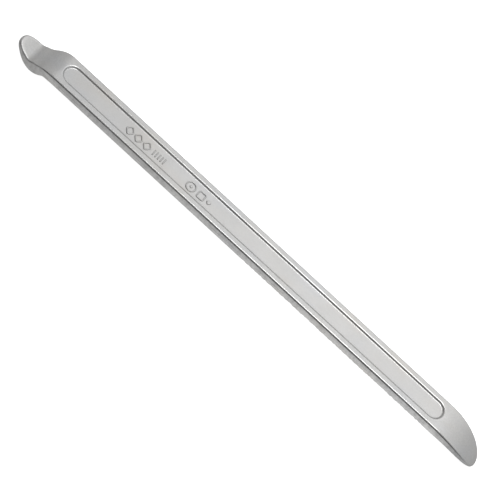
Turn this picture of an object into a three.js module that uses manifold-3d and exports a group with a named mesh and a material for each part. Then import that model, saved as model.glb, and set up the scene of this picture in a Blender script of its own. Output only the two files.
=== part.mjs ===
// Tyre lever: one drop-forged steel bar with a satin chrome plating.
// Millimetres, +Z up. The bar runs along X, with its spoon end at -X and its curved end at +X.
// The recessed faces look up and down, and the lever lies on its two down-bent ends.
import * as THREE from 'three';
import { mergeVertices } from 'three/addons/utils/BufferGeometryUtils.js';
import Module from 'manifold-3d';

// Driving dimensions: millimetres, and degrees for the angles.
const OVERALL_LENGTH = 380;
const BAR_WIDTH = 22.5;
const BAR_THICKNESS = 7.4;
const EDGE_RADIUS = 1;          // rounding along the four long edges
const DRAFT_ANGLE = 4;          // the sides lean in from the parting line by this much

// Spoon end: the neck bends down, then a thin lip turns back up.
const NECK_RADIUS = 13.3;
const NECK_ANGLE = 42;
const NECK_STRAIGHT = 3.7;
const DIP_RADIUS = 10;
const LIP_ANGLE = 24;
const LIP_STRAIGHT = 11;
const LIP_THICKNESS = 3.3;
const LIP_THINNING = 19;        // the bar thins to the lip over this length of bar
const HEEL_THICKENING = 2;      // the bar is this much thicker where it dips
const HEEL_TO_TIP = 18.9;
const HEEL_HALF_LENGTH = 7;
const SPOON_WIDTH = 17.5;
const SPOON_NOSE = 19;          // length over which the spoon's outline closes to its tip
const SPOON_BLUNTNESS = 0.405;  // 0.5 gives a half ellipse, and less gives a blunter tip
const SPOON_SHOULDER = 15.6;    // length over which the bar narrows to the spoon

// Curved end: one even downward bend that narrows and thins to a rounded point.
const BEND_RADIUS = 50;
const BEND_ANGLE = 41;
const POINT_BLUNTNESS = 0.44;
const POINT_THICKNESS = 1.6;
const POINT_FULLNESS = 0.62;    // below 1 the bar keeps its thickness longer and thins late

const TIP_ROUNDING = 0.6;       // how far back from a tip its thin edge is rounded

// Recess along each face, between two rails.
const RAIL_WIDTH = 4.35;
const RECESS_DEPTH = 1.25;
const RECESS_FLOOR_FILLET = 0.8;
const RECESS_TO_NECK = 0.4;     // flat face left between the recess and the neck
const RECESS_TO_BEND = 2.2;     // flat face left between the recess and the curved end

// Where the bar is thin or narrow, its edge rounding shrinks to these shares of it.
const EDGE_SHARE_OF_THICKNESS = 0.45;
const EDGE_SHARE_OF_HALF_WIDTH = 0.8;

// Fineness of the facets.
const ARC_STEP = 5;             // degrees of bend between two sections
const STRAIGHT_STEP = 1.3;
const NOSE_STEPS = 9;
const CORNER_STEPS = 3;
const FILLET_STEPS = 3;
const RECESS_END_STEPS = 14;

const RUN_TOLERANCE = 1e-9;     // allows for rounding errors where two runs are compared

const { degToRad, smoothstep } = THREE.MathUtils;

// Walks a bent centre line away from the shank. Each leg is { radius, turn } for a bend, with a
// positive turn bending down, or { straight }. Gives points of { x, z, slope, run }.
function centreLine(legs) {
  const points = [{ x: 0, z: 0, slope: 0, run: 0 }];
  for (const leg of legs) {
    const length = leg.straight ?? leg.radius * Math.abs(degToRad(leg.turn));
    const turn = leg.straight ? 0 : degToRad(leg.turn);
    const size = leg.straight ? length / STRAIGHT_STEP : Math.abs(leg.turn) / ARC_STEP;
    const steps = Math.max(2, Math.ceil(size));
    for (let step = 0; step < steps; step += 1) {
      const last = points[points.length - 1];
      const middle = last.slope - turn / steps / 2;
      const chord = leg.straight ? length / steps : 2 * leg.radius * Math.sin(Math.abs(turn) / steps / 2);
      points.push({
        x: last.x + chord * Math.cos(middle),
        z: last.z + chord * Math.sin(middle),
        slope: last.slope - turn / steps,
        run: last.run + length / steps,
      });
    }
  }
  return points;
}

// The point of a centre line at a given run, between the two points next to it.
function pointAt(line, run) {
  const after = Math.max(1, line.findIndex((point) => point.run >= run - RUN_TOLERANCE));
  const [a, b] = [line[after - 1], line[after]];
  const share = (run - a.run) / (b.run - a.run);
  const mix = (key) => a[key] + (b[key] - a[key]) * share;
  return { x: mix('x'), z: mix('z'), slope: mix('slope'), run };
}

// One end of the lever as sections from the shank out to just short of the tip, and the tip itself.
function endSections(line, noseLength, halfWidthAt, thicknessAt) {
  const total = line[line.length - 1].run;
  const noseStart = total - noseLength;
  const runs = line.filter((point) => point.run < noseStart - STRAIGHT_STEP / 2).map((point) => point.run);
  for (let step = 0; step < NOSE_STEPS; step += 1) {
    runs.push(noseStart + noseLength * Math.sin((step / NOSE_STEPS) * Math.PI / 2));
  }
  const sections = runs.map((run) => {
    const toTip = total - run;
    const back = Math.min(1, toTip / TIP_ROUNDING);
    const rounding = Math.sqrt(1 - (1 - back) ** 2);
    return {
      ...pointAt(line, run),
      halfWidth: halfWidthAt(toTip),
      thickness: thicknessAt(toTip) * rounding,
    };
  });
  const reach = sections.map(({ x, slope, thickness }) => x + Math.abs(Math.sin(slope)) * thickness / 2);
  const tip = pointAt(line, total);
  return { sections, tip, reach: Math.max(tip.x, ...reach) };
}

// Half-width of a round nose at a distance from its tip.
function noseHalfWidth(toTip, noseLength, fullHalfWidth, bluntness) {
  const back = Math.min(1, toTip / noseLength);
  return fullHalfWidth * (1 - (1 - back) ** 2) ** bluntness;
}

// Extra thickness of the heel: a smooth swelling that fades out at both sides.
function heelAt(toTip) {
  const away = Math.min(1, Math.abs(toTip - HEEL_TO_TIP) / HEEL_HALF_LENGTH);
  return HEEL_THICKENING * (1 - away ** 2) ** 2;
}

function spoonEnd() {
  const line = centreLine([
    { radius: NECK_RADIUS, turn: NECK_ANGLE },
    { straight: NECK_STRAIGHT },
    { radius: DIP_RADIUS, turn: -(NECK_ANGLE + LIP_ANGLE) },
    { straight: LIP_STRAIGHT },
  ]);
  const widening = (BAR_WIDTH - SPOON_WIDTH) / 2;
  const shoulder = (toTip) => widening * smoothstep(toTip, SPOON_NOSE, SPOON_NOSE + SPOON_SHOULDER);
  const thinning = (toTip) => (BAR_THICKNESS - LIP_THICKNESS) * smoothstep(toTip, 0, LIP_THINNING);
  return endSections(
    line,
    SPOON_NOSE,
    (toTip) => noseHalfWidth(toTip, SPOON_NOSE, SPOON_WIDTH / 2, SPOON_BLUNTNESS) + shoulder(toTip),
    (toTip) => LIP_THICKNESS + thinning(toTip) + heelAt(toTip),
  );
}

function curvedEnd() {
  const length = BEND_RADIUS * degToRad(BEND_ANGLE);
  const line = centreLine([{ radius: BEND_RADIUS, turn: BEND_ANGLE }]);
  return endSections(
    line,
    length,
    (toTip) => noseHalfWidth(toTip, length, BAR_WIDTH / 2, POINT_BLUNTNESS),
    (toTip) => POINT_THICKNESS + (BAR_THICKNESS - POINT_THICKNESS) * (toTip / length) ** POINT_FULLNESS,
  );
}

// Cross-section as [across, up] points, going round from the parting line on the left over the top.
function crossSection(halfWidth, thickness) {
  const corner = Math.min(
    EDGE_RADIUS,
    thickness * EDGE_SHARE_OF_THICKNESS,
    halfWidth * EDGE_SHARE_OF_HALF_WIDTH,
  );
  const lean = (thickness / 2 - corner) * Math.tan(degToRad(DRAFT_ANGLE));
  const across = Math.max(0, halfWidth - lean - corner);
  const up = thickness / 2 - corner;
  const points = [];
  for (const [side, level, from] of [[-1, 1, 180], [1, 1, 90], [1, -1, 0], [-1, -1, -90]]) {
    if (side === level * -1) points.push([side * halfWidth, 0]);
    for (let step = 0; step <= CORNER_STEPS; step += 1) {
      const angle = degToRad(from - 90 * step / CORNER_STEPS);
      points.push([side * across + corner * Math.cos(angle), level * up + corner * Math.sin(angle)]);
    }
  }
  return points;
}

// A ball whose rows are pulled onto the sections, with its two poles at the two tips.
function barGeometry(sections, firstTip, lastTip) {
  const rings = sections.map(({ x, z, slope, halfWidth, thickness }) => (
    crossSection(halfWidth, thickness).map(([across, up]) => (
      [x - up * Math.sin(slope), across, z + up * Math.cos(slope)]
    ))
  ));
  const around = rings[0].length;
  const geometry = new THREE.SphereGeometry(1, around, rings.length + 1);
  const position = geometry.attributes.position;
  for (let index = 0; index < position.count; index += 1) {
    const row = Math.floor(index / (around + 1));
    const column = index % (around + 1) % around;
    const ring = rings[row - 1];
    const tip = row === 0 ? firstTip : lastTip;
    position.setXYZ(index, ...(ring ? ring[column] : [tip.x, 0, tip.z]));
  }
  return geometry;
}

// Tool that cuts the recess of the upper face: a long slot with round ends and a filleted floor.
function recessGeometry(fromX, toX) {
  const floorHalfWidth = BAR_WIDTH / 2 - RAIL_WIDTH - RECESS_FLOOR_FILLET;
  const rimHalfWidth = floorHalfWidth + RECESS_FLOOR_FILLET;
  const outline = new THREE.Shape();
  outline.absarc(toX - rimHalfWidth, 0, floorHalfWidth, -Math.PI / 2, Math.PI / 2);
  outline.absarc(fromX + rimHalfWidth, 0, floorHalfWidth, Math.PI / 2, Math.PI * 1.5);
  const geometry = new THREE.ExtrudeGeometry(outline, {
    depth: RECESS_DEPTH,
    curveSegments: RECESS_END_STEPS,
    bevelThickness: RECESS_FLOOR_FILLET,
    bevelSize: RECESS_FLOOR_FILLET,
    bevelSegments: FILLET_STEPS,
  });
  return geometry.translate(0, 0, BAR_THICKNESS / 2 - RECESS_DEPTH + RECESS_FLOOR_FILLET);
}

const wasm = await Module();
wasm.setup();

function toSolid(geometry) {
  const bare = geometry.clone();
  bare.deleteAttribute('normal');
  bare.deleteAttribute('uv');
  const merged = mergeVertices(bare);
  return new wasm.Manifold(new wasm.Mesh({
    numProp: 3,
    vertProperties: new Float32Array(merged.attributes.position.array),
    triVerts: new Uint32Array(merged.index.array),
  }));
}

function toGeometry(solid) {
  const mesh = solid.getMesh();
  const geometry = new THREE.BufferGeometry();
  geometry.setAttribute('position', new THREE.BufferAttribute(mesh.vertProperties, mesh.numProp));
  geometry.setIndex(new THREE.BufferAttribute(mesh.triVerts, 1));
  geometry.computeVertexNormals();
  return geometry;
}

// The forging, with the middle of the shank's thickness at height 0 and the length centred on X.
function leverGeometry() {
  const spoon = spoonEnd();
  const curved = curvedEnd();
  const shankFrom = -OVERALL_LENGTH / 2 + spoon.reach;
  const shankTo = OVERALL_LENGTH / 2 - curved.reach;
  const toLeft = (point) => ({ ...point, x: shankFrom - point.x, slope: -point.slope });
  const toRight = (point) => ({ ...point, x: shankTo + point.x });
  const sections = [...spoon.sections.map(toLeft).reverse(), ...curved.sections.map(toRight)];
  const bar = toSolid(barGeometry(sections, toLeft(spoon.tip), toRight(curved.tip)));
  const recess = recessGeometry(shankFrom + RECESS_TO_NECK, shankTo - RECESS_TO_BEND);
  const underside = recess.clone().rotateX(Math.PI);
  return toGeometry(bar.subtract(toSolid(recess)).subtract(toSolid(underside)));
}

const satinChrome = new THREE.MeshStandardMaterial({ color: 0xc8cacc, roughness: 0.32, metalness: 1 });
const lever = new THREE.Mesh(leverGeometry(), satinChrome);
lever.name = 'forged_lever';

// The origin is on the ground under the middle of the lever.
lever.geometry.computeBoundingBox();
lever.position.z = -lever.geometry.boundingBox.min.z;

const tyreLever = new THREE.Group();
tyreLever.add(lever);
export default tyreLever;
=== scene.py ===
"""Tyre lever: the finished look of one forged and plated bar, lying on a pale studio floor.

Sizes are in millimetres and are turned into metres where a mesh is made. The bar runs along X,
with its spoon end at -X and its curved end at +X.
"""

import math
import random

import bmesh
import bpy
import numpy as np
from mathutils import Matrix, Vector


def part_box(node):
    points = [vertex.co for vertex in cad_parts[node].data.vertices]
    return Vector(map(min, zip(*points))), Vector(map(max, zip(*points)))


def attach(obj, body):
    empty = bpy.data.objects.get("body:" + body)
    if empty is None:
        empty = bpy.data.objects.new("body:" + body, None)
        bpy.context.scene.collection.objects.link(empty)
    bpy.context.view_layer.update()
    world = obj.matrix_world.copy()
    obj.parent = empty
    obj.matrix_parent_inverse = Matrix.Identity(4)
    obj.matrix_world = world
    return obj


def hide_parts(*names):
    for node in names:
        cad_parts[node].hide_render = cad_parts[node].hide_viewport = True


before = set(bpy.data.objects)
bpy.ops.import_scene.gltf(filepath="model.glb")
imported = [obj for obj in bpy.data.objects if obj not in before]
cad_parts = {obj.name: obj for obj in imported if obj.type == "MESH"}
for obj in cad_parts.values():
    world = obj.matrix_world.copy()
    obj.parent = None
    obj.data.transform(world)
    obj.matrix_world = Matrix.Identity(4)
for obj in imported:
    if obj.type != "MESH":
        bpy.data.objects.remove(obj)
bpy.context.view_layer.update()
BAR_NODE = "forged_lever"
MM = 0.001

# ---------------------------------------------------------------- sizes of the bar, from the frame

low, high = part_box(BAR_NODE)
OVERALL_LENGTH = (high.x - low.x) / MM
BAR_WIDTH = (high.y - low.y) / MM
FACE_LEVEL = high.z / MM           # height of the two upper rails above the ground
BAR_THICKNESS = 7.4
HALF_THICKNESS = BAR_THICKNESS / 2

# Spoon end: the neck bends down, then a thin lip turns back up.
NECK_RADIUS = 13.3
NECK_ANGLE = math.radians(42)
NECK_STRAIGHT = 3.7
DIP_RADIUS = 10
LIP_ANGLE = math.radians(24)
LIP_STRAIGHT = 11
LIP_THICKNESS = 3.3
LIP_THINNING = 19
HEEL_THICKENING = 2
HEEL_TO_TIP = 18.9
HEEL_HALF_LENGTH = 7
SPOON_WIDTH = 17.5
SPOON_NOSE = 19
SPOON_BLUNTNESS = 0.405
SPOON_SHOULDER = 15.6

# Curved end: one even downward bend.
BEND_RADIUS = 50
BEND_ANGLE = math.radians(41)
POINT_BLUNTNESS = 0.44
POINT_THICKNESS = 1.6
POINT_FULLNESS = 0.62

# How far each tilted tip edge reaches past the end of the bar's middle line.
SPOON_OVERHANG = 0.3
POINT_OVERHANG = 0.2

# Long edges: a small roll at the face, then a large one down the side to the parting line.
EDGE_ROLL = 1.0
SIDE_ROLL = 1.6
EDGE_TILT = math.radians(55)
SIDE_TILT = math.radians(87)
FLASH_HEIGHT = 0.06                # what trimming leaves standing of the flash
FLASH_KNOTS = 70
FAR_FLASH_SEED = 3
NEAR_FLASH_SEED = 5

# Grinding marks along the lower edges: seed, first and last place along X, and depth.
NEAR_MARKS = (11, 2, 150, 0.5)
FAR_MARKS = (23, -60, 120, 0.2)
MARK_REACH = (0.8, 1.9)            # least and most, either way from a mark's centre
MARK_SPACING = (1.8, 4.6)
SHALLOWEST_SHARE = 0.35

# Recess: rim roll, short wall and floor fillet, all along one line with round ends.
RIM_HALF_WIDTH = 7.5
RIM_ROLL = 1.2
FLOOR_FILLET = 1.1
WALL_TILT = math.radians(60)
RECESS_DEPTH = 1.25
RECESS_FROM_NECK = 7.3             # from the end of the shank to the centre of the round end
RECESS_FROM_BEND = 9.1

# Finish of the surface, as (worn smooth, recessed, trimmed).
PLAIN = (0, 0, 0)
WORN = (1, 0, 0)
RECESSED = (0, 1, 0)
TRIMMED = (0, 0, 1)
WORN_SHARE_OF_EDGE = 0.4           # of the edge roll's radius, measured down from the face
WORN_SHARE_OF_RIM = 0.5

# Steps of the profiles, and loops between them.
ROLL_STEPS = 6
FILLET_STEPS = 8
SIDE_STEPS = 4
FACE_STEPS = 12
FLOOR_STEPS = 4


# ---------------------------------------------------------------- the bent centre line

def smooth(value, start, end):
    share = np.clip((value - start) / (end - start), 0, 1)
    return share * share * (3 - 2 * share)


def walk(legs, step=0.1):
    """Points of a bent line leaving the shank: run, x, z and slope. A leg is (length, turn)."""
    run, x, z, slope = [0.0], [0.0], [0.0], [0.0]
    for length, turn in legs:
        count = math.ceil(length / step)
        for _ in range(count):
            middle = slope[-1] - turn / count / 2
            run.append(run[-1] + length / count)
            x.append(x[-1] + length / count * math.cos(middle))
            z.append(z[-1] + length / count * math.sin(middle))
            slope.append(slope[-1] - turn / count)
    return np.array([run, x, z, slope])


SPOON_LINE = walk([
    (NECK_RADIUS * NECK_ANGLE, NECK_ANGLE),
    (NECK_STRAIGHT, 0),
    (DIP_RADIUS * (NECK_ANGLE + LIP_ANGLE), -(NECK_ANGLE + LIP_ANGLE)),
    (LIP_STRAIGHT, 0),
])
BEND_LENGTH = BEND_RADIUS * BEND_ANGLE
BEND_LINE = walk([(BEND_LENGTH, BEND_ANGLE)])
SPOON_RUN = SPOON_LINE[0, -1]
SPOON_REACH = SPOON_LINE[1, -1] + SPOON_OVERHANG
BEND_REACH = BEND_LINE[1, -1] + POINT_OVERHANG
SHANK_LENGTH = OVERALL_LENGTH - SPOON_REACH - BEND_REACH
SHANK_FROM = -OVERALL_LENGTH / 2 + SPOON_REACH
TOTAL_RUN = SPOON_RUN + SHANK_LENGTH + BEND_LENGTH
MIDDLE_LEVEL = FACE_LEVEL - HALF_THICKNESS


def whole_line():
    """Run, x, z and slope from the spoon's tip, along the shank, to the curved end's tip."""
    spoon = SPOON_LINE[:, ::-1].copy()
    spoon[0] = SPOON_RUN - spoon[0]
    spoon[1] = SHANK_FROM - spoon[1]
    spoon[3] = -spoon[3]
    bend = BEND_LINE.copy()
    bend[0] += SPOON_RUN + SHANK_LENGTH
    bend[1] += SHANK_FROM + SHANK_LENGTH
    return np.hstack([spoon, bend])


LINE = whole_line()


def place(run, across, up):
    """World points, in metres, of points given along, across and square to the bar."""
    x, z, slope = (np.interp(run, LINE[0], LINE[row]) for row in (1, 2, 3))
    return np.stack([
        (x - up * np.sin(slope)) * MM,
        across * MM,
        (z + MIDDLE_LEVEL + up * np.cos(slope)) * MM,
    ], axis=-1)


def nose(to_tip, length, half_width, bluntness):
    back = np.clip(to_tip / length, 0, 1)
    return half_width * (1 - (1 - back) ** 2) ** bluntness


def half_width(run):
    widening = (BAR_WIDTH - SPOON_WIDTH) / 2
    spoon = nose(run, SPOON_NOSE, SPOON_WIDTH / 2, SPOON_BLUNTNESS)
    shoulder = widening * smooth(run, SPOON_NOSE, SPOON_NOSE + SPOON_SHOULDER)
    point = nose(TOTAL_RUN - run, BEND_LENGTH, BAR_WIDTH / 2, POINT_BLUNTNESS)
    return np.minimum(spoon + shoulder, point)


def half_thickness(run):
    spoon = LIP_THICKNESS + (BAR_THICKNESS - LIP_THICKNESS) * smooth(run, 0, LIP_THINNING)
    away = np.clip(np.abs(run - HEEL_TO_TIP) / HEEL_HALF_LENGTH, 0, 1)
    heel = HEEL_THICKENING * (1 - away ** 2) ** 2
    back = np.clip((TOTAL_RUN - run) / BEND_LENGTH, 0, 1)
    point = POINT_THICKNESS + (BAR_THICKNESS - POINT_THICKNESS) * back ** POINT_FULLNESS
    return np.minimum(spoon + heel, np.where(back < 1, point, np.inf)) / 2


# ---------------------------------------------------------------- loops round the bar

RECESS_START = SPOON_RUN + RECESS_FROM_NECK
RECESS_END = SPOON_RUN + SHANK_LENGTH - RECESS_FROM_BEND


def stations():
    """Places along the bar, close together where it bends, narrows or carries trimming marks."""
    nose_steps, point_steps, shank_stations = 26, 44, 370
    neck_pitch, bend_pitch, least_gap = 0.7, 0.8, 0.3
    bend_start = TOTAL_RUN - BEND_LENGTH
    spoon = SPOON_NOSE * (1 - np.cos(np.linspace(0, math.pi / 2, nose_steps + 1)))
    neck = np.arange(SPOON_NOSE + neck_pitch, RECESS_START - least_gap, neck_pitch)
    shank = np.linspace(RECESS_START, RECESS_END, shank_stations)
    before_bend = np.arange(RECESS_END + bend_pitch, bend_start - least_gap, bend_pitch)
    back = 1 - np.cos(np.linspace(0, math.pi / 2, point_steps + 1))
    point = TOTAL_RUN - BEND_LENGTH * back[::-1]
    return np.concatenate([spoon, neck, shank, before_bend, point])


STATIONS = stations()


def both_sides(far, near):
    """Values along the far side of the bar, and back along the near side."""
    return np.concatenate([far, near[-2:0:-1]])


OUTLINE_RUN = both_sides(STATIONS, STATIONS)
OUTLINE_ACROSS = both_sides(half_width(STATIONS), -half_width(STATIONS))


def inward_direction():
    along = np.roll(OUTLINE_RUN, -1) - np.roll(OUTLINE_RUN, 1)
    across = np.roll(OUTLINE_ACROSS, -1) - np.roll(OUTLINE_ACROSS, 1)
    length = np.hypot(along, across)
    return across / length, -along / length


INWARD_RUN, INWARD_ACROSS = inward_direction()


def inset_loop(inset):
    """The outline moved inwards, by one distance or by one for each of its points."""
    return OUTLINE_RUN + inset * INWARD_RUN, OUTLINE_ACROSS + inset * INWARD_ACROSS


def recess_loop(radius):
    """A line with round ends, its points in line with the outline's."""
    run, across = OUTLINE_RUN.copy(), np.sign(OUTLINE_ACROSS) * radius
    ends = (
        (RECESS_START, OUTLINE_RUN < RECESS_START),
        (RECESS_END, OUTLINE_RUN > RECESS_END),
    )
    for centre, beyond in ends:
        angle = np.arctan2(OUTLINE_ACROSS[beyond], OUTLINE_RUN[beyond] - centre)
        run[beyond] = centre + radius * np.cos(angle)
        across[beyond] = radius * np.sin(angle)
    return run, across


def shares(count):
    """Even steps from 0 to 1."""
    return np.linspace(0, 1, count + 1)


def edge_profile():
    """Points of the long edge from the face outwards, as (out, down)."""
    points = []
    for share in shares(ROLL_STEPS):
        tilt = EDGE_TILT * share
        points.append((EDGE_ROLL * math.sin(tilt), EDGE_ROLL * (1 - math.cos(tilt))))
    out, down = points[-1]
    for share in shares(FILLET_STEPS)[1:]:
        tilt = EDGE_TILT + (SIDE_TILT - EDGE_TILT) * share
        points.append((
            out + SIDE_ROLL * (math.sin(tilt) - math.sin(EDGE_TILT)),
            down + SIDE_ROLL * (math.cos(EDGE_TILT) - math.cos(tilt)),
        ))
    return points


def recess_profile():
    """Points of the recess wall from the rim inwards, as (in, down)."""
    wall_drop = RECESS_DEPTH - (RIM_ROLL + FLOOR_FILLET) * (1 - math.cos(WALL_TILT))
    points = [
        (RIM_ROLL * math.sin(WALL_TILT * share), RIM_ROLL * (1 - math.cos(WALL_TILT * share)))
        for share in shares(ROLL_STEPS)
    ]
    start = (points[-1][0] + wall_drop / math.tan(WALL_TILT), points[-1][1] + wall_drop)
    points.append(start)
    for share in shares(FILLET_STEPS)[1:]:
        tilt = WALL_TILT * (1 - share)
        points.append((
            start[0] + FLOOR_FILLET * (math.sin(WALL_TILT) - math.sin(tilt)),
            start[1] + FLOOR_FILLET * (math.cos(tilt) - math.cos(WALL_TILT)),
        ))
    return points


EDGE_PROFILE = edge_profile()
EDGE_OUT, EDGE_DOWN = EDGE_PROFILE[-1]
# The edge shrinks where the bar is thin, and leaves a little flat side there.
EDGE_SHARE_OF_THICKNESS = 0.97
ROUNDNESS = np.clip(half_thickness(OUTLINE_RUN) / EDGE_DOWN * EDGE_SHARE_OF_THICKNESS, 0, 1)
RECESS_PROFILE = recess_profile()
FLOOR_HALF_WIDTH = RIM_HALF_WIDTH - RECESS_PROFILE[-1][0]


def trimming_marks(seed, first, last, depth):
    """Depth of the grinding marks along the lower edge: shallow scallops, none alike."""
    draw = random.Random(seed)
    marks = np.zeros_like(STATIONS)
    x = np.interp(STATIONS, LINE[0], LINE[1])
    centre = first
    while centre < last:
        reach = draw.uniform(*MARK_REACH)
        bite = depth * draw.uniform(SHALLOWEST_SHARE, 1)
        away = np.clip(np.abs(x - centre) / reach, 0, 1)
        marks = np.maximum(marks, bite * (1 - away ** 2))
        centre += draw.uniform(*MARK_SPACING)
    return marks


def flash_remains(seed):
    """Height of the flash that trimming leaves: uneven, and gone in places."""
    draw = random.Random(seed)
    knots = [draw.uniform(-0.4, 1) for _ in range(FLASH_KNOTS)]
    height = np.interp(STATIONS, np.linspace(0, TOTAL_RUN, FLASH_KNOTS), knots)
    return FLASH_HEIGHT * np.clip(height, 0, 1)


def face_loops(side):
    """Loops of one face from the parting line to the middle of the recess floor.

    side is 1 for the upper face and -1 for the lower. Each loop is (run, across, up, finish),
    and its finish says how worn, how recessed and how trimmed the surface is there.
    """
    half = half_thickness(OUTLINE_RUN)
    side_height = half - EDGE_DOWN * ROUNDNESS
    lean = side_height / math.tan(SIDE_TILT)
    bite = np.zeros_like(OUTLINE_RUN)
    if side < 0:
        bite = both_sides(trimming_marks(*FAR_MARKS), trimming_marks(*NEAR_MARKS))
    flash = both_sides(flash_remains(FAR_FLASH_SEED), flash_remains(NEAR_FLASH_SEED))
    loops = []

    def add(loop, up, finish):
        loops.append((*loop, side * up, finish))

    add(inset_loop(-flash), np.zeros_like(half), TRIMMED)
    for step in range(1, SIDE_STEPS):
        share = (step / SIDE_STEPS) ** 2
        up = side_height * share
        add(inset_loop(bite * share + up / math.tan(SIDE_TILT)), up, TRIMMED)
    for out, down in reversed(EDGE_PROFILE):
        cut = bite * (1 - down / EDGE_DOWN / 3)
        loop = inset_loop(lean + (EDGE_OUT - out) * ROUNDNESS + cut)
        finish = WORN if down < EDGE_ROLL * WORN_SHARE_OF_EDGE else TRIMMED
        add(loop, half - down * ROUNDNESS, finish)
    edge = np.array(loops[-1][:2])
    rim = np.array(recess_loop(RIM_HALF_WIDTH))
    for step in range(1, FACE_STEPS):
        loop = edge + (rim - edge) * (step / FACE_STEPS)
        add(loop, half_thickness(loop[0]), PLAIN)
    for inwards, down in RECESS_PROFILE:
        loop = recess_loop(RIM_HALF_WIDTH - inwards)
        finish = WORN if down < RIM_ROLL * WORN_SHARE_OF_RIM else RECESSED
        add(loop, half_thickness(loop[0]) - down, finish)
    floor_run, floor_across = recess_loop(FLOOR_HALF_WIDTH)
    for step in range(1, FLOOR_STEPS + 1):
        loop = (floor_run, floor_across * (1 - step / FLOOR_STEPS))
        add(loop, half_thickness(floor_run) - RECESS_DEPTH, RECESSED)
    return loops


def bar_mesh():
    loops = face_loops(1)[::-1] + face_loops(-1)[1:]
    points = np.concatenate([place(*loop[:3]) for loop in loops])
    around = len(OUTLINE_RUN)
    faces = []
    for ring in range(len(loops) - 1):
        for index in range(around):
            after = (index + 1) % around
            a, b = ring * around + index, ring * around + after
            faces.append((a, b, b + around, a + around))
    mesh = bpy.data.meshes.new("forged_bar")
    mesh.from_pydata(points.tolist(), [], faces)
    finish = np.concatenate([np.tile((*loop[3], 1), (around, 1)) for loop in loops])
    layer = mesh.attributes.new("finish", "FLOAT_COLOR", "POINT")
    layer.data.foreach_set("color", finish.ravel())
    return mesh


MERGE_DISTANCE = 1e-6              # in metres
SHORTEST_EDGE = 1e-7


def tidy_mesh(mesh):
    """Closes the seams where loops meet and makes every face look outwards."""
    work = bmesh.new()
    work.from_mesh(mesh)
    bmesh.ops.remove_doubles(work, verts=work.verts, dist=MERGE_DISTANCE)
    bmesh.ops.dissolve_degenerate(work, edges=work.edges, dist=SHORTEST_EDGE)
    bmesh.ops.recalc_face_normals(work, faces=work.faces)
    work.to_mesh(mesh)
    work.free()
    for face in mesh.polygons:
        face.use_smooth = True


def add_piece(name, mesh):
    tidy_mesh(mesh)
    piece = bpy.data.objects.new(name, mesh)
    bpy.context.scene.collection.objects.link(piece)
    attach(piece, "root")
    return piece


bar = add_piece("forged_bar", bar_mesh())
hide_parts(BAR_NODE)


# ---------------------------------------------------------------- raised marks on the recess floor

MARK_HEIGHT = 0.65
MARK_SINK = 0.12                   # how far a mark reaches down into the floor
STROKE_WIDTH = 1.0
STROKE_STEPS = 8
FLOOR_LEVEL = FACE_LEVEL - RECESS_DEPTH
MARKS_ACROSS = -0.7


def rounded_loop(corners, radius, steps=6):
    """Points of a closed outline whose corners are arcs."""
    points = []
    for index, corner in enumerate(corners):
        before = (corners[index - 1] - corner).normalized()
        after = (corners[(index + 1) % len(corners)] - corner).normalized()
        half = before.angle(after) / 2
        centre = corner + (before + after).normalized() * radius / math.sin(half)
        start = corner + before * radius / math.tan(half) - centre
        sweep = math.copysign(math.pi - 2 * half, before.x * after.y - before.y * after.x)
        for step in range(steps + 1):
            points.append(centre + Matrix.Rotation(-sweep * step / steps, 2) @ start)
    return points


def diamond(half_length, half_width):
    corners = ((half_length, 0), (0, half_width), (-half_length, 0), (0, -half_width))
    return [Vector(corner) for corner in corners]


def rectangle(half_length, half_width):
    corners = ((1, 1), (-1, 1), (-1, -1), (1, -1))
    return [Vector((x * half_length, y * half_width)) for x, y in corners]


def circle(radius, steps=32):
    turns = (2 * math.pi * step / steps for step in range(steps))
    return [Vector((radius * math.cos(turn), radius * math.sin(turn))) for turn in turns]


def ring_mark(loop):
    """A half-round ridge that follows a closed loop."""
    rows = []
    for index, point in enumerate(loop):
        along = (loop[(index + 1) % len(loop)] - loop[index - 1]).normalized()
        outward = Vector((along.y, -along.x))
        section = [(point + outward * STROKE_WIDTH / 2, -MARK_SINK)]
        for step in range(STROKE_STEPS + 1):
            turn = math.pi * step / STROKE_STEPS
            reach = outward * math.cos(turn) * STROKE_WIDTH / 2
            section.append((point + reach, MARK_HEIGHT * math.sin(turn)))
        section.append((point - outward * STROKE_WIDTH / 2, -MARK_SINK))
        rows.append(section)
    points = [(spot.x, spot.y, height) for row in rows for spot, height in row]
    width = len(rows[0])
    faces = []
    for row in range(len(rows)):
        after = (row + 1) % len(rows)
        for column in range(width):
            beside = (column + 1) % width
            faces.append((row * width + column, after * width + column,
                          after * width + beside, row * width + beside))
    return points, faces


def solid_mark(loop):
    """A low dome over a closed loop, rounded down to its outline."""
    half_x = max(point.x for point in loop)
    half_y = max(point.y for point in loop)
    round_over = min(half_x, half_y, STROKE_WIDTH / 2)
    rows = [(0, -MARK_SINK)]
    for step in range(STROKE_STEPS + 1):
        turn = math.pi / 2 * step / STROKE_STEPS
        rows.append((round_over * (1 - math.cos(turn)), MARK_HEIGHT * math.sin(turn)))
    points = []
    for inset, height in rows:
        across, along = 1 - inset / half_x, 1 - inset / half_y
        points += [(point.x * across, point.y * along, height) for point in loop]
    count = len(loop)
    faces = [tuple(range(count))[::-1], tuple(range(count * (len(rows) - 1), count * len(rows)))]
    for row in range(len(rows) - 1):
        for index in range(count):
            a, b = row * count + index, row * count + (index + 1) % count
            faces.append((a, b, b + count, a + count))
    return points, faces


def add_marks(name, marks):
    """Joins marks, each given as (centre along X, (points, faces)), into one piece."""
    points, faces = [], []
    for centre, (mark_points, mark_faces) in marks:
        first = len(points)
        for x, y, height in mark_points:
            raised = height + FLOOR_LEVEL
            points.append(((x + centre) * MM, (y + MARKS_ACROSS) * MM, raised * MM))
        faces += [tuple(first + index for index in face) for face in mark_faces]
    mesh = bpy.data.meshes.new(name)
    mesh.from_pydata(points, [], faces)
    return add_piece(name, mesh)


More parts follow.
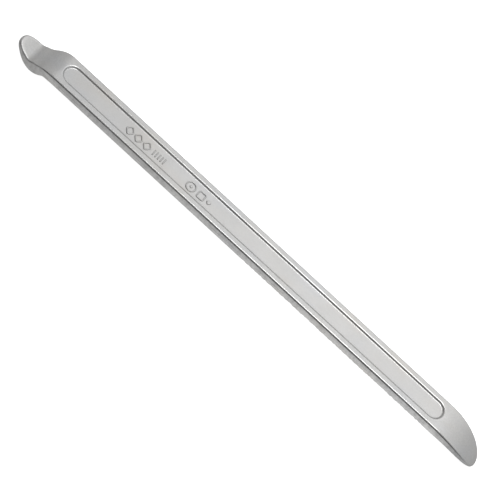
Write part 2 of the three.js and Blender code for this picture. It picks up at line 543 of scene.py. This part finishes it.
# Two groups of plain shapes, standing where the real bar carries its size and steel marks.
diamond_ring = ring_mark(rounded_loop(diamond(2.9, 3.3), 0.9))
short_bar = solid_mark(rounded_loop(rectangle(STROKE_WIDTH / 2, 2.3), STROKE_WIDTH / 2 * 0.98))
left_marks = [(-102.3 + 7 * index, diamond_ring) for index in range(3)]
left_marks += [(-82.6 + 2.1 * index, short_bar) for index in range(5)]
right_marks = [
    (-52, ring_mark(circle(3.3))),
    (-52, solid_mark(circle(1.0))),
    (-43.6, ring_mark(rounded_loop(rectangle(2.5, 2.5), 1.0))),
    (-37.6, solid_mark(rounded_loop(diamond(1.9, 1.9), 0.4))),
]
pieces = [bar, add_marks("raised_marks_left", left_marks), add_marks("raised_marks_right", right_marks)]


# ---------------------------------------------------------------- node trees by short calls

class Tree:
    """Adds nodes to a material's or world's tree. An input is a number, a colour or a socket."""

    def __init__(self, owner):
        owner.use_nodes = True
        self.nodes = owner.node_tree.nodes
        self.links = owner.node_tree.links

    def feed(self, socket, value):
        if isinstance(value, bpy.types.NodeSocket):
            self.links.new(value, socket)
        else:
            socket.default_value = value

    def add(self, kind, inputs, output=0, **settings):
        node = self.nodes.new("ShaderNode" + kind)
        for name, value in settings.items():
            setattr(node, name, value)
        for name, value in inputs.items():
            self.feed(node.inputs[name], value)
        return node.outputs[output]

    def math(self, operation, *values):
        return self.add("Math", dict(enumerate(values)), operation=operation)

    def ramp(self, value, start, end, low=0, high=1):
        """low up to start, high from end on, and a smooth rise between them."""
        inputs = {"Value": value, "From Min": start, "From Max": end, "To Min": low, "To Max": high}
        return self.add("MapRange", inputs, interpolation_type="SMOOTHSTEP")

    def mix_colours(self, first, second, share):
        node = self.nodes.new("ShaderNodeMix")
        node.data_type = "RGBA"
        for name, value in (("A", first), ("B", second)):
            socket = next(s for s in node.inputs if s.name == name and s.type == "RGBA")
            self.feed(socket, value if isinstance(value, bpy.types.NodeSocket) else (*value, 1))
        self.feed(node.inputs["Factor"], share)
        return next(s for s in node.outputs if s.type == "RGBA")

    def along(self, vector, direction):
        """How far a vector reaches in a direction."""
        return self.add("VectorMath", {0: vector, 1: direction}, "Value", operation="DOT_PRODUCT")


# ---------------------------------------------------------------- satin chrome

CHROME = (0.602, 0.599, 0.592)
CHROME_WARM = (0.604, 0.592, 0.572)
CHROME_COOL = (0.592, 0.595, 0.598)

# Sizes of the surface's patterns, in millimetres.
STAIN_SIZE = 22
TINT_SIZE = 34
SPECKLE_SIZE = 0.8
STRIPE_SIZE = 2.4
PATCH_SIZE = 5
GRAIN_SIZE = 0.42
SWELL_SIZE = 13
GRINDING_SIZE = 3.2

# Heights of the same patterns, in metres.
GRINDING_HEIGHT = 9e-6
GRAIN_HEIGHT = 4e-6
GRAIN_WORN_AWAY = 2.5e-6
SWELL_HEIGHT = 3e-5

# Roughness of the plain faces, and what is taken off or put on elsewhere.
ROUGHNESS_LOW = 0.4
ROUGHNESS_HIGH = 0.47
SCUFFED_ROUGHER = 0.14
SCUFFED_TO = -0.178                # in metres along X
SCUFF_FADES_AT = -0.162
WORN_SMOOTHER = 0.17
TRIMMED_SMOOTHER = 0.13
RECESSED_SMOOTHER = 0.08


def chrome_colour(tree, noise, trimmed):
    """Slight stains, speckle and tint, with darker stripes on the trimmed sides."""
    stain = noise(STAIN_SIZE)
    tint = noise(TINT_SIZE, stretch=(1, 2, 2))
    warm = tree.ramp(tint, 0.5, 0.72)
    cool = tree.ramp(tint, 0.5, 0.3)
    tone = tree.mix_colours(CHROME, CHROME_WARM, warm)
    tone = tree.mix_colours(tone, CHROME_COOL, cool)
    speckle = tree.ramp(noise(SPECKLE_SIZE), 0.3, 0.7, -0.045, 0.045)
    level = tree.math("ADD", tree.ramp(stain, 0.3, 0.7, 0.965, 1.0), speckle)
    stripes = tree.ramp(noise(STRIPE_SIZE, 3.0, (1, 1, 0.5)), 0.4, 0.65, 0, 0.15)
    level = tree.math("SUBTRACT", level, tree.math("MULTIPLY", trimmed, stripes))
    return tree.add("VectorMath", {0: tone, "Scale": level}, operation="SCALE")


def chrome_roughness(tree, noise, position, worn, recessed, trimmed):
    """Patchy, rougher at the scuffed spoon end and smoother where worn, trimmed or recessed."""
    roughness = tree.ramp(noise(PATCH_SIZE, 3.0), 0.3, 0.7, ROUGHNESS_LOW, ROUGHNESS_HIGH)
    scuffed = tree.ramp(tree.along(position, (1, 0, 0)), SCUFFED_TO, SCUFF_FADES_AT, SCUFFED_ROUGHER, 0)
    roughness = tree.math("ADD", roughness, scuffed)
    smoother = (
        (worn, WORN_SMOOTHER),
        (trimmed, TRIMMED_SMOOTHER),
        (recessed, RECESSED_SMOOTHER),
    )
    for finish, amount in smoother:
        roughness = tree.math("SUBTRACT", roughness, tree.math("MULTIPLY", finish, amount))
    return roughness


def chrome_bump(tree, noise, worn, trimmed):
    """Grain all over, less on worn edges, with grinding on the sides and a slow swell."""
    grinding = noise(GRINDING_SIZE, 3.0, (14, 1, 1.6))
    ground = tree.math("MULTIPLY", grinding, tree.math("MULTIPLY", trimmed, GRINDING_HEIGHT))
    worn_away = tree.math("MULTIPLY", worn, GRAIN_WORN_AWAY)
    grain_height = tree.math("SUBTRACT", GRAIN_HEIGHT, worn_away)
    grain = tree.math("MULTIPLY", noise(GRAIN_SIZE, 3.0), grain_height)
    swell = tree.math("MULTIPLY", noise(SWELL_SIZE, 1.0), SWELL_HEIGHT)
    height = tree.math("ADD", tree.math("ADD", ground, grain), swell)
    return tree.add("Bump", {"Height": height, "Distance": 1.0, "Strength": 1.0}, "Normal")


def satin_chrome():
    """Plated steel whose finish follows the "finish" attribute of the mesh."""
    metal = bpy.data.materials.new("satin_chrome")
    tree = Tree(metal)
    position = tree.add("TexCoord", {}, "Object")
    finish = tree.add("Attribute", {}, "Color", attribute_name="finish")
    parts = tree.add("SeparateColor", {"Color": finish}, "Red").node
    worn, recessed, trimmed = parts.outputs["Red"], parts.outputs["Green"], parts.outputs["Blue"]

    def noise(size, detail=2.0, stretch=(1, 1, 1)):
        scaled = tree.add("VectorMath", {0: position, 1: stretch}, operation="MULTIPLY")
        return tree.add("TexNoise", {"Vector": scaled, "Scale": 1 / (size * MM), "Detail": detail})

    roughness = chrome_roughness(tree, noise, position, worn, recessed, trimmed)
    shader = tree.nodes["Principled BSDF"]
    shader.inputs["Metallic"].default_value = 1
    tree.feed(shader.inputs["Base Color"], chrome_colour(tree, noise, trimmed))
    tree.feed(shader.inputs["Roughness"], roughness)
    tree.feed(shader.inputs["Normal"], chrome_bump(tree, noise, worn, trimmed))
    return metal


chrome = satin_chrome()
for piece in pieces:
    piece.data.materials.append(chrome)


# ---------------------------------------------------------------- floor, light and painted reflections

FLOOR_SIZE = 6
FLOOR_GREY = 0.9
FLOOR_GLOW = 0.75                  # keeps the floor near white under soft light
TABLE_HEIGHT = 0.1 * MM
TABLE_NEAR_LEFT = 0.68             # painted reflection: brightness of the table as the metal mirrors it, near the bar
TABLE_NEAR_RIGHT = 1.0
TABLE_PAINTED_SHADE_UNDER = 0.8                  # painted shadow: share of that brightness left close under the bar
TABLE_PAINTED_SHADE_PAST_POINT = 0.62            # and painted shadow past its curved end
TABLE_FRONT = 0.12
TABLE_BACK_LEFT = 0.45
TABLE_BACK_RIGHT = 0.75
ROOM_AXIS = (0.15, 0.6, 0.79)      # the room is brightest above and behind, darkest in front
ROOM_DARK = 0.12
ROOM_BRIGHT = 0.57
PAINTED_SOFTBOX_BRIGHT = 1.14

# Softboxes, in metres: centre, lean, width along X and depth. The one behind is a painted reflection,
# not a lamp.
BEHIND_CENTRE = (0.7, 0.7, 1.0)
BEHIND_LEAN = math.radians(35)
BEHIND_WIDTH = 2.6
BEHIND_DEPTH = 0.8
OVERHEAD_CENTRE = (0.14, 0, 1.0)
OVERHEAD_WIDTH = 0.48
OVERHEAD_DEPTH = 0.5
OVERHEAD_POWER = 2.4               # in watts


def stage_plane(name, height):
    bpy.ops.mesh.primitive_plane_add(size=FLOOR_SIZE, location=(0, 0, height))
    plane = bpy.context.object
    plane.name = name
    material = bpy.data.materials.new(name)
    plane.data.materials.append(material)
    return plane, material


def stage_floor():
    floor, material = stage_plane("studio_floor", 0)
    material.use_nodes = True
    surface = material.node_tree.nodes["Principled BSDF"]
    surface.inputs["Base Color"].default_value = (FLOOR_GREY, FLOOR_GREY, FLOOR_GREY, 1)
    surface.inputs["Roughness"].default_value = 1
    surface.inputs["Emission Color"].default_value = (1, 1, 1, 1)
    surface.inputs["Emission Strength"].default_value = FLOOR_GLOW


def stage_painted_table_reflection():
    """Painted table reflection for the metal: pale close by, dim further off, painted shadow under the
    bar. Nothing else sees it.
    """
    plane, material = stage_plane("painted_table_reflection", TABLE_HEIGHT)
    tree = Tree(material)
    position = tree.add("NewGeometry", {}, "Position")
    x = tree.along(position, (1, 0, 0))
    y = tree.along(position, (0, 1, 0))
    near = tree.ramp(x, -0.2, 0.15, TABLE_NEAR_LEFT, TABLE_NEAR_RIGHT)
    # Painted shadow: darker past the curved end and close under the bar.
    near = tree.math("MULTIPLY", near, tree.ramp(x, 0.155, 0.18, 1, TABLE_PAINTED_SHADE_PAST_POINT))
    near = tree.math("MULTIPLY", near, tree.ramp(y, -0.021, -0.013, 1, TABLE_PAINTED_SHADE_UNDER))
    front = tree.ramp(y, -0.04, -0.02, TABLE_FRONT, near)
    back = tree.ramp(x, -0.2, 0.15, TABLE_BACK_LEFT, TABLE_BACK_RIGHT)
    glow_in_mirror(plane, tree, tree.ramp(y, 0.02, 0.09, front, back))


def glow_in_mirror(plane, tree, level):
    """Gives a plane a brightness that only glossy rays see."""
    glow = tree.add("Emission", {"Strength": level})
    tree.links.new(glow, tree.nodes["Material Output"].inputs["Surface"])
    for ray in ("camera", "diffuse", "transmission", "volume_scatter", "shadow"):
        setattr(plane, "visible_" + ray, False)


def stage_painted_softbox_reflection():
    """Painted reflection of a large soft light behind the metal, fading into the room at both ends."""
    card, material = stage_plane("painted_softbox_reflection", 0)
    card.location = BEHIND_CENTRE
    card.rotation_euler.x = -BEHIND_LEAN
    card.scale = (BEHIND_WIDTH / FLOOR_SIZE, BEHIND_DEPTH / FLOOR_SIZE, 1)
    tree = Tree(material)
    x = tree.along(tree.add("NewGeometry", {}, "Position"), (1, 0, 0))
    # Painted highlight: brightest in the middle, falling to the room's level at both ends.
    left = tree.ramp(x, -0.5, -0.04, ROOM_BRIGHT, PAINTED_SOFTBOX_BRIGHT)
    glow_in_mirror(card, tree, tree.ramp(x, 0.25, 1.9, left, ROOM_BRIGHT))


def stage_room():
    world = bpy.data.worlds.new("studio")
    bpy.context.scene.world = world
    tree = Tree(world)
    direction = tree.add("TexCoord", {}, "Generated")
    level = tree.ramp(tree.along(direction, ROOM_AXIS), -0.2, 0.3, ROOM_DARK, ROOM_BRIGHT)
    tree.links.new(level, tree.nodes["Background"].inputs["Strength"])
    tree.nodes["Background"].inputs["Color"].default_value = (1, 1, 1, 1)


def softbox(name, position, lean, width, depth, power):
    """A wide soft light with its width along X. It looks down, leaning forward by an angle."""
    light = bpy.data.lights.new(name, "AREA")
    light.shape = "RECTANGLE"
    light.size = width
    light.size_y = depth
    light.energy = power
    lamp = bpy.data.objects.new(name, light)
    lamp.location = position
    lamp.rotation_euler.x = -lean
    bpy.context.scene.collection.objects.link(lamp)


stage_floor()
stage_painted_table_reflection()
stage_room()
stage_painted_softbox_reflection()
softbox("softbox_overhead", OVERHEAD_CENTRE, 0, OVERHEAD_WIDTH, OVERHEAD_DEPTH, OVERHEAD_POWER)


# ---------------------------------------------------------------- camera

VIEW_ELEVATION = math.radians(55)
VIEW_ROLL = math.radians(42.67)
VIEW_WIDTH = 306.1 * MM
VIEW_LENS = 200
VIEW_CENTRE_RIGHT = 3.07 * MM
VIEW_CENTRE_UP = 2.77 * MM


def place_camera():
    forward = Vector((0, math.cos(VIEW_ELEVATION), -math.sin(VIEW_ELEVATION)))
    level_right = Vector((1, 0, 0))
    level_up = level_right.cross(forward)
    right = level_right * math.cos(VIEW_ROLL) + level_up * math.sin(VIEW_ROLL)
    up = level_up * math.cos(VIEW_ROLL) - level_right * math.sin(VIEW_ROLL)
    data = bpy.data.cameras.new("camera")
    data.lens = VIEW_LENS
    distance = VIEW_WIDTH * VIEW_LENS / data.sensor_width
    camera = bpy.data.objects.new("camera", data)
    axes = Matrix((right, up, -forward)).transposed().to_4x4()
    centre = right * VIEW_CENTRE_RIGHT + up * VIEW_CENTRE_UP
    camera.matrix_world = Matrix.Translation(centre - forward * distance) @ axes
    bpy.context.scene.collection.objects.link(camera)
    bpy.context.scene.camera = camera


place_camera()
bpy.context.scene.view_settings.view_transform = "Standard"
